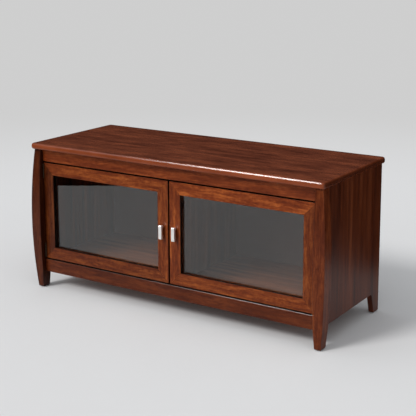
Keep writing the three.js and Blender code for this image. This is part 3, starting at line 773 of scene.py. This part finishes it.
def neighbours(loop):
    return list(zip(loop, loop[1:] + loop[:1]))


def screw_head_mesh(name, material, radius, profile, recess_depth):
    """The profile holds (share of the radius, height) from the seat up to the flat of the head."""
    shape = bmesh.new()
    rims = []
    for share, height in profile:
        rims.append([shape.verts.new(point) for point in rim(radius * share, height)])
    for lower, upper in zip(rims, rims[1:]):
        for (a, b), (c, d) in zip(neighbours(lower), neighbours(upper)):
            shape.faces.new((a, b, d, c))
    crown = profile[-1][1]
    crosses = []
    for (reach, half_width), height in ((MOUTH_SHARES, crown), (PIT_SHARES, crown - recess_depth)):
        outline = cross(radius * reach, radius * half_width, height)
        crosses.append([shape.verts.new(point) for point in outline])
    mouth, pit = crosses
    crown_edges = [shape.edges.get(pair) for pair in neighbours(rims[-1])]
    crown_edges += [shape.edges.new(pair) for pair in neighbours(mouth)]
    bmesh.ops.triangle_fill(
        shape, use_beauty=True, use_dissolve=False, edges=crown_edges, normal=(0, 0, 1))
    for (a, b), (c, d) in zip(neighbours(mouth), neighbours(pit)):
        shape.faces.new((b, a, c, d))
    shape.faces.new(pit)
    shape.faces.new(list(reversed(rims[0])))
    bmesh.ops.recalc_face_normals(shape, faces=shape.faces[:])
    mesh = bpy.data.meshes.new(name)
    shape.to_mesh(mesh)
    shape.free()
    mesh.materials.append(material)
    return mesh


FLAT_HEAD = dict(
    radius=0.0026, recess_depth=0.0007,
    profile=((0.55, -0.0009), (1.0, -0.0001), (0.96, 0.00005)))
PAN_HEAD = dict(
    radius=0.0036, recess_depth=0.0012,
    profile=((0.9, 0.0), (1.0, 0.0003), (1.0, 0.0009), (0.9, 0.0015), (0.72, 0.0018)))
bronze_flat_head = screw_head_mesh("bronze_flat_screw_head", bronze_material, **FLAT_HEAD)
zinc_flat_head = screw_head_mesh("zinc_flat_screw_head", zinc_material, **FLAT_HEAD)
zinc_pan_head = screw_head_mesh("zinc_pan_screw_head", zinc_material, **PAN_HEAD)
print("faces of a head:", len(bronze_flat_head.polygons), "and", len(zinc_pan_head.polygons))

# %% [markdown]
# Setting a screw
#
# Each head sits on the face that it holds and rides on the body behind that face. The heads could all be
# turned alike, but nobody lines screws up, so every next one is turned a little further. The places
# below come from the boxes of the solids, so the screws follow if the solids change.

# %% Place a screw head on a face
SCREW_TURN = 37
# The cross looks the same after this many degrees
CROSS_TURN = 90
screws = []


def set_screw(name, mesh, place, axis, body):
    screw = add_object(name, mesh)
    spin = Matrix.Rotation(math.radians(SCREW_TURN * len(screws) % CROSS_TURN), 4, "Z")
    screw.matrix_world = Matrix.Translation(place) @ pointing(axis) @ spin
    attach(screw, body)
    screws.append(screw)


def part_way(low, high, share):
    return low + (high - low) * share


print("screws so far:", len(screws))

# %% [markdown]
# Hinge screws
#
# A hinge leaf is a plate in the gap between door and leg, with its share of the knuckles at the front
# edge. Three screws could stand in one line, but they are set in a slight zigzag, so that they don't
# split the wood. The flat face of the plate is found from the corners near its rear edge, where there is
# no knuckle.

# %% Three screws in each hinge leaf
PLATE_REACH = 0.004
# Share of the leaf's height, and distance from its rear edge
LEAF_SCREWS = ((0.16, 0.0065), (0.5, 0.0035), (0.84, 0.0065))


def screw_hinges(side, sign):
    for level in ("upper", "lower"):
        for leaf, body, outward in (("leg_leaf", "cabinet", -sign), ("door_leaf", side + "_door", sign)):
            node = "%s_%s_hinge_%s" % (side, level, leaf)
            low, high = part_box(node)
            corners = [corner.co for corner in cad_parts[node].data.vertices]
            plate_xs = [corner.x for corner in corners if corner.y > high.y - PLATE_REACH]
            face_x = max(plate_xs) if outward > 0 else min(plate_xs)
            for number, (share, setback) in enumerate(LEAF_SCREWS):
                place = Vector((face_x, high.y - setback, part_way(low.z, high.z, share)))
                set_screw("%s_screw_%d" % (node, number + 1), bronze_flat_head, place,
                          (outward, 0, 0), body)


print("screws in a hinge leaf:", len(LEAF_SCREWS))

# %% [markdown]
# Screws of the catches and the strikes
#
# A magnetic catch is screwed to the divider through its side, and its strike plate to the back of the
# door. A catch needs heads that stand proud, because its plastic is too thin to countersink. The plate
# is thin too, but its screws lie flush so that it meets the magnet flat.

# %% Two screws in each catch and strike, on both sides
CATCH_SHARES = (0.2, 0.8)
CATCH_DEPTH_SHARE = 0.62
STRIKE_SHARES = (0.22, 0.78)


def screw_catch_and_strike(side, sign):
    low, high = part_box(side + "_catch")
    bay_face = high.x if sign > 0 else low.x
    for number, share in enumerate(CATCH_SHARES):
        place = Vector((
            bay_face, part_way(low.y, high.y, CATCH_DEPTH_SHARE), part_way(low.z, high.z, share)))
        set_screw("%s_catch_screw_%d" % (side, number + 1), zinc_pan_head, place,
                  (sign, 0, 0), "cabinet")
    low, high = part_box(side + "_door_strike")
    for number, share in enumerate(STRIKE_SHARES):
        place = Vector(((low.x + high.x) / 2, high.y, part_way(low.z, high.z, share)))
        set_screw("%s_strike_screw_%d" % (side, number + 1), zinc_flat_head, place,
                  (0, 1, 0), side + "_door")


for side, sign in zip(SIDES, (-1, 1)):
    screw_hinges(side, sign)
    screw_catch_and_strike(side, sign)
print("screws so far:", len(screws))

# %% [markdown]
# Back screws
#
# The back board is screwed on from behind: a row along the top rear rail, a row along the lower edge,
# and three into the divider. Nails or staples are common too. Screws let the board come off when a
# cable has to be laid.

# %% Two rows and a column of screws in the back board
ROW_SHARES = (0.02, 0.14, 0.26, 0.38, 0.5, 0.62, 0.74, 0.86, 0.98)
ABOVE_RAIL_MIDDLE = 0.012
ABOVE_LOWER_EDGE = 0.008
DIVIDER_SCREW_HEIGHTS = (0.19, 0.3, 0.41)
low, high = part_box("back_panel")
top_rail_low, top_rail_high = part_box("top_rear_rail")
bottom_rail_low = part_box("bottom_rear_rail")[0]
upper_row = (top_rail_low.z + top_rail_high.z) / 2 + ABOVE_RAIL_MIDDLE
lower_row = max(low.z, bottom_rail_low.z) + ABOVE_LOWER_EDGE
back_places = []
for height in (upper_row, lower_row):
    back_places += [(part_way(low.x, high.x, share), height) for share in ROW_SHARES]
back_places += [(0.0, height) for height in DIVIDER_SCREW_HEIGHTS]
for number, (x, z) in enumerate(back_places):
    set_screw("back_screw_%02d" % (number + 1), zinc_pan_head, Vector((x, high.y, z)),
              (0, 1, 0), "cabinet")
print("screws:", len(screws))

# %% [markdown]
# The floor
#
# The object stands on a plain pale studio floor. A studio would hang paper that curves up behind the
# object, but seen from another side that curve would stand in the way, so this floor is flat and runs on
# to the horizon. Close by it is an ordinary matt surface that takes the shadow of the cabinet. Farther
# out, the camera, mirrors and glass see it fade into the tone of the backdrop, so that no edge and no
# falling light shows behind the object. A camera below the floor looks through it and sees the underside.

# %% Studio floor
FLOOR_RADIUS = 60.0
FAR_TONE = (0.62, 0.62, 0.62, 1.0)
FADE_START = 1.7
FADE_END = 4.6
PAPER_TONES = ((0.77815, 0.7821, 0.79, 1.0), (0.79, 0.79395, 0.8058, 1.0))
PAPER_SPECULAR = 0.1


def seen_share(tree):
    """1 on rays from the camera, straight or by way of a mirror or glass, and 0 on gathered light."""
    rays = add_node(tree, "ShaderNodeLightPath").outputs
    bent_rays = calculate(tree, "MAXIMUM", rays["Is Glossy Ray"], rays["Is Transmission Ray"])
    return calculate(tree, "MAXIMUM", rays["Is Camera Ray"], bent_rays)


floor_shape = bmesh.new()
bmesh.ops.create_circle(floor_shape, cap_ends=True, segments=96, radius=FLOOR_RADIUS)
floor_mesh = bpy.data.meshes.new("studio_floor")
floor_shape.to_mesh(floor_mesh)
floor_shape.free()
floor = add_object("studio_floor", floor_mesh)
floor_material, tree, shader = new_material("pale_paper")
place = own_place(tree)
paper = noise(tree, place, (3.0, 3.0, 3.0))
tooth = noise(tree, place, (700.0, 700.0, 700.0))
tree.links.new(mix_colours(tree, paper, *PAPER_TONES), shader.inputs["Base Color"])
tree.links.new(vary(tree, 0.85, tooth, amount=0.1), shader.inputs["Roughness"])
shader.inputs["Specular IOR Level"].default_value = PAPER_SPECULAR
reach = add_node(tree, "ShaderNodeVectorMath", {0: place}, operation="LENGTH").outputs["Value"]
far_share = ramp(tree, reach, FADE_START, FADE_END, interpolation_type="SMOOTHSTEP")
far_share = calculate(tree, "MULTIPLY", far_share, seen_share(tree))
far_floor = add_node(tree, "ShaderNodeEmission", {"Color": FAR_TONE, "Strength": 1.0}).outputs[0]
joined_floor = mix_shaders(tree, far_share, shader.outputs[0], far_floor)
from_below = add_node(tree, "ShaderNodeNewGeometry").outputs["Backfacing"]
camera_ray = add_node(tree, "ShaderNodeLightPath").outputs["Is Camera Ray"]
open_share = calculate(tree, "MULTIPLY", from_below, camera_ray)
opening = add_node(tree, "ShaderNodeBsdfTransparent").outputs[0]
set_surface(tree, mix_shaders(tree, open_share, joined_floor, opening))
floor_mesh.materials.append(floor_material)
print("floor radius %.0f m" % FLOOR_RADIUS)

# %% [markdown]
# Pale surroundings
#
# A studio has pale walls that fill the shadows. They could be built, but then they would stand in front
# of the camera in some views. The world does it instead: it is brighter towards the front and above,
# where the lamps of a studio hang. That is only the light that it gives. What the camera, mirrors and
# glass see of it is the plain tone of the backdrop.

# %% The world
BRIGHT_SIDE = (-0.10, -0.60, 0.79)
FILL_COLOUR = (0.97, 0.985, 1.0, 1.0)
DIM_FROM = -0.1
DIM_FILL = 0.17
BRIGHT_FILL = 0.92
world = bpy.data.worlds.new("studio")
scene.world = world
world.use_nodes = True
tree = world.node_tree
tree.nodes.clear()
sky = add_node(tree, "ShaderNodeTexCoord").outputs["Generated"]
strength = ramp(tree, agreement(tree, sky, BRIGHT_SIDE), DIM_FROM, 1.0, DIM_FILL, BRIGHT_FILL)
fill = add_node(tree, "ShaderNodeBackground", {"Color": FILL_COLOUR, "Strength": strength}).outputs[0]
backdrop = add_node(tree, "ShaderNodeBackground", {"Color": FAR_TONE, "Strength": 1.0}).outputs[0]
surroundings = mix_shaders(tree, seen_share(tree), fill, backdrop)
add_node(tree, "ShaderNodeOutputWorld", {"Surface": surroundings})
print("world nodes:", len(tree.nodes))

# %% [markdown]
# The main lamp
#
# The shadow in the photograph falls to the right and back, with a soft edge, so the main light was a
# large lamp high up at the front left. An area lamp could stand there, but its light grows weaker with
# distance and would leave a bright patch on the floor. A sun lamp with a wide disc gives the same soft
# edge and an even light.

# %% A sun lamp with a wide disc
KEY_STRENGTH = 1.6
KEY_DISC = math.radians(17.0)
KEY_COLOUR = (1.0, 0.985, 0.965)
KEY_WAY = (-0.33, -0.70, 0.635)
key_data = bpy.data.lights.new("soft_key", "SUN")
key_data.energy = KEY_STRENGTH
key_data.angle = KEY_DISC
key_data.color = KEY_COLOUR
key = add_object("soft_key", key_data)
key.matrix_world = pointing(KEY_WAY)
print("key angle %.0f degrees" % math.degrees(key_data.angle))

# %% [markdown]
# The strip light
#
# A bright line runs along the rounded front edge of the top, the mirror image of a long narrow lamp. The
# line could be painted into the finish, but then it would stay when the view changes. Here a real strip
# light makes it, which only glossy reflections see. It is linked to the top, the bottom rail and the
# pulls, because on the doors it would wash out the dark stain. Its power is its brightness times pi
# times its area.

# %% A long lamp for the highlights
STRIP_BRIGHTNESS = 80.0
STRIP_WIDTH = 0.85
STRIP_LENGTH = 2.1
STRIP_AIM = Vector((0.33, -0.23, 0.55))
STRIP_DISTANCE = 3.0
# The long side of the lamp leans back along this direction
STRIP_LEAN = Vector((0.0, 0.765, 0.44))
strip_data = bpy.data.lights.new("strip_box", "AREA")
strip_data.shape = "RECTANGLE"
strip_data.size = STRIP_WIDTH
strip_data.size_y = STRIP_LENGTH
strip_data.energy = STRIP_BRIGHTNESS * math.pi * STRIP_WIDTH * STRIP_LENGTH
strip_way = Vector((-0.47, -0.44, 0.765)).normalized()
strip_wide = STRIP_LEAN.cross(strip_way).normalized()
strip_long = strip_way.cross(strip_wide)
strip = add_object("strip_box", strip_data)
strip.matrix_world = standing(STRIP_AIM + STRIP_DISTANCE * strip_way, strip_wide, strip_long, strip_way)
strip.visible_diffuse = False
strip.visible_camera = False
lit_by_strip = bpy.data.collections.new("lit_by_strip")
for name in ("top_panel", "bottom_front_rail", "left_door_pull", "right_door_pull"):
    lit_by_strip.objects.link(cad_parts[name])
strip.light_linking.receiver_collection = lit_by_strip
print("strip light %.2f by %.2f m" % (STRIP_WIDTH, STRIP_LENGTH))

# %% [markdown]
# Black flags
#
# Lacquer mirrors whatever stands behind it at a low angle, and a pale room would wash out the dark
# stain. The stain could be made darker to make up for it, but then it would be wrong from every other
# side. Photographers stand black cards just outside the picture instead. Two cards do that here, one
# behind the cabinet and one at its front left. They show only on paths that have been mirrored at least
# once, also inside a pane of glass, so nobody sees them straight or through an open door.

# %% Two cards that only reflections see
FELT_BLACK = (0.004, 0.004, 0.004, 1.0)
felt_material, tree, shader = new_material("black_felt")
shader.inputs["Base Color"].default_value = FELT_BLACK
shader.inputs["Specular IOR Level"].default_value = 0.0
times_mirrored = add_node(tree, "ShaderNodeLightPath").outputs["Glossy Depth"]
mirrored = calculate(tree, "MINIMUM", times_mirrored, 1.0)
unseen = add_node(tree, "ShaderNodeBsdfTransparent").outputs[0]
set_surface(tree, mix_shaders(tree, mirrored, unseen, shader.outputs[0]))


def add_flag(name, start, end, height):
    mesh = bpy.data.meshes.new(name)
    corners = [(*start, 0.0), (*end, 0.0), (*end, height), (*start, height)]
    mesh.from_pydata(corners, [], [(0, 1, 2, 3)])
    mesh.materials.append(felt_material)
    flag = add_object(name, mesh)
    flag.visible_camera = False
    flag.visible_diffuse = False
    flag.visible_shadow = False


add_flag("back_flag", start=(-4.5, 0.62), end=(4.0, 0.62), height=5.0)
add_flag("left_flag", start=(-3.69, -0.175), end=(1.12, -3.22), height=1.7)
print("two flags stand")
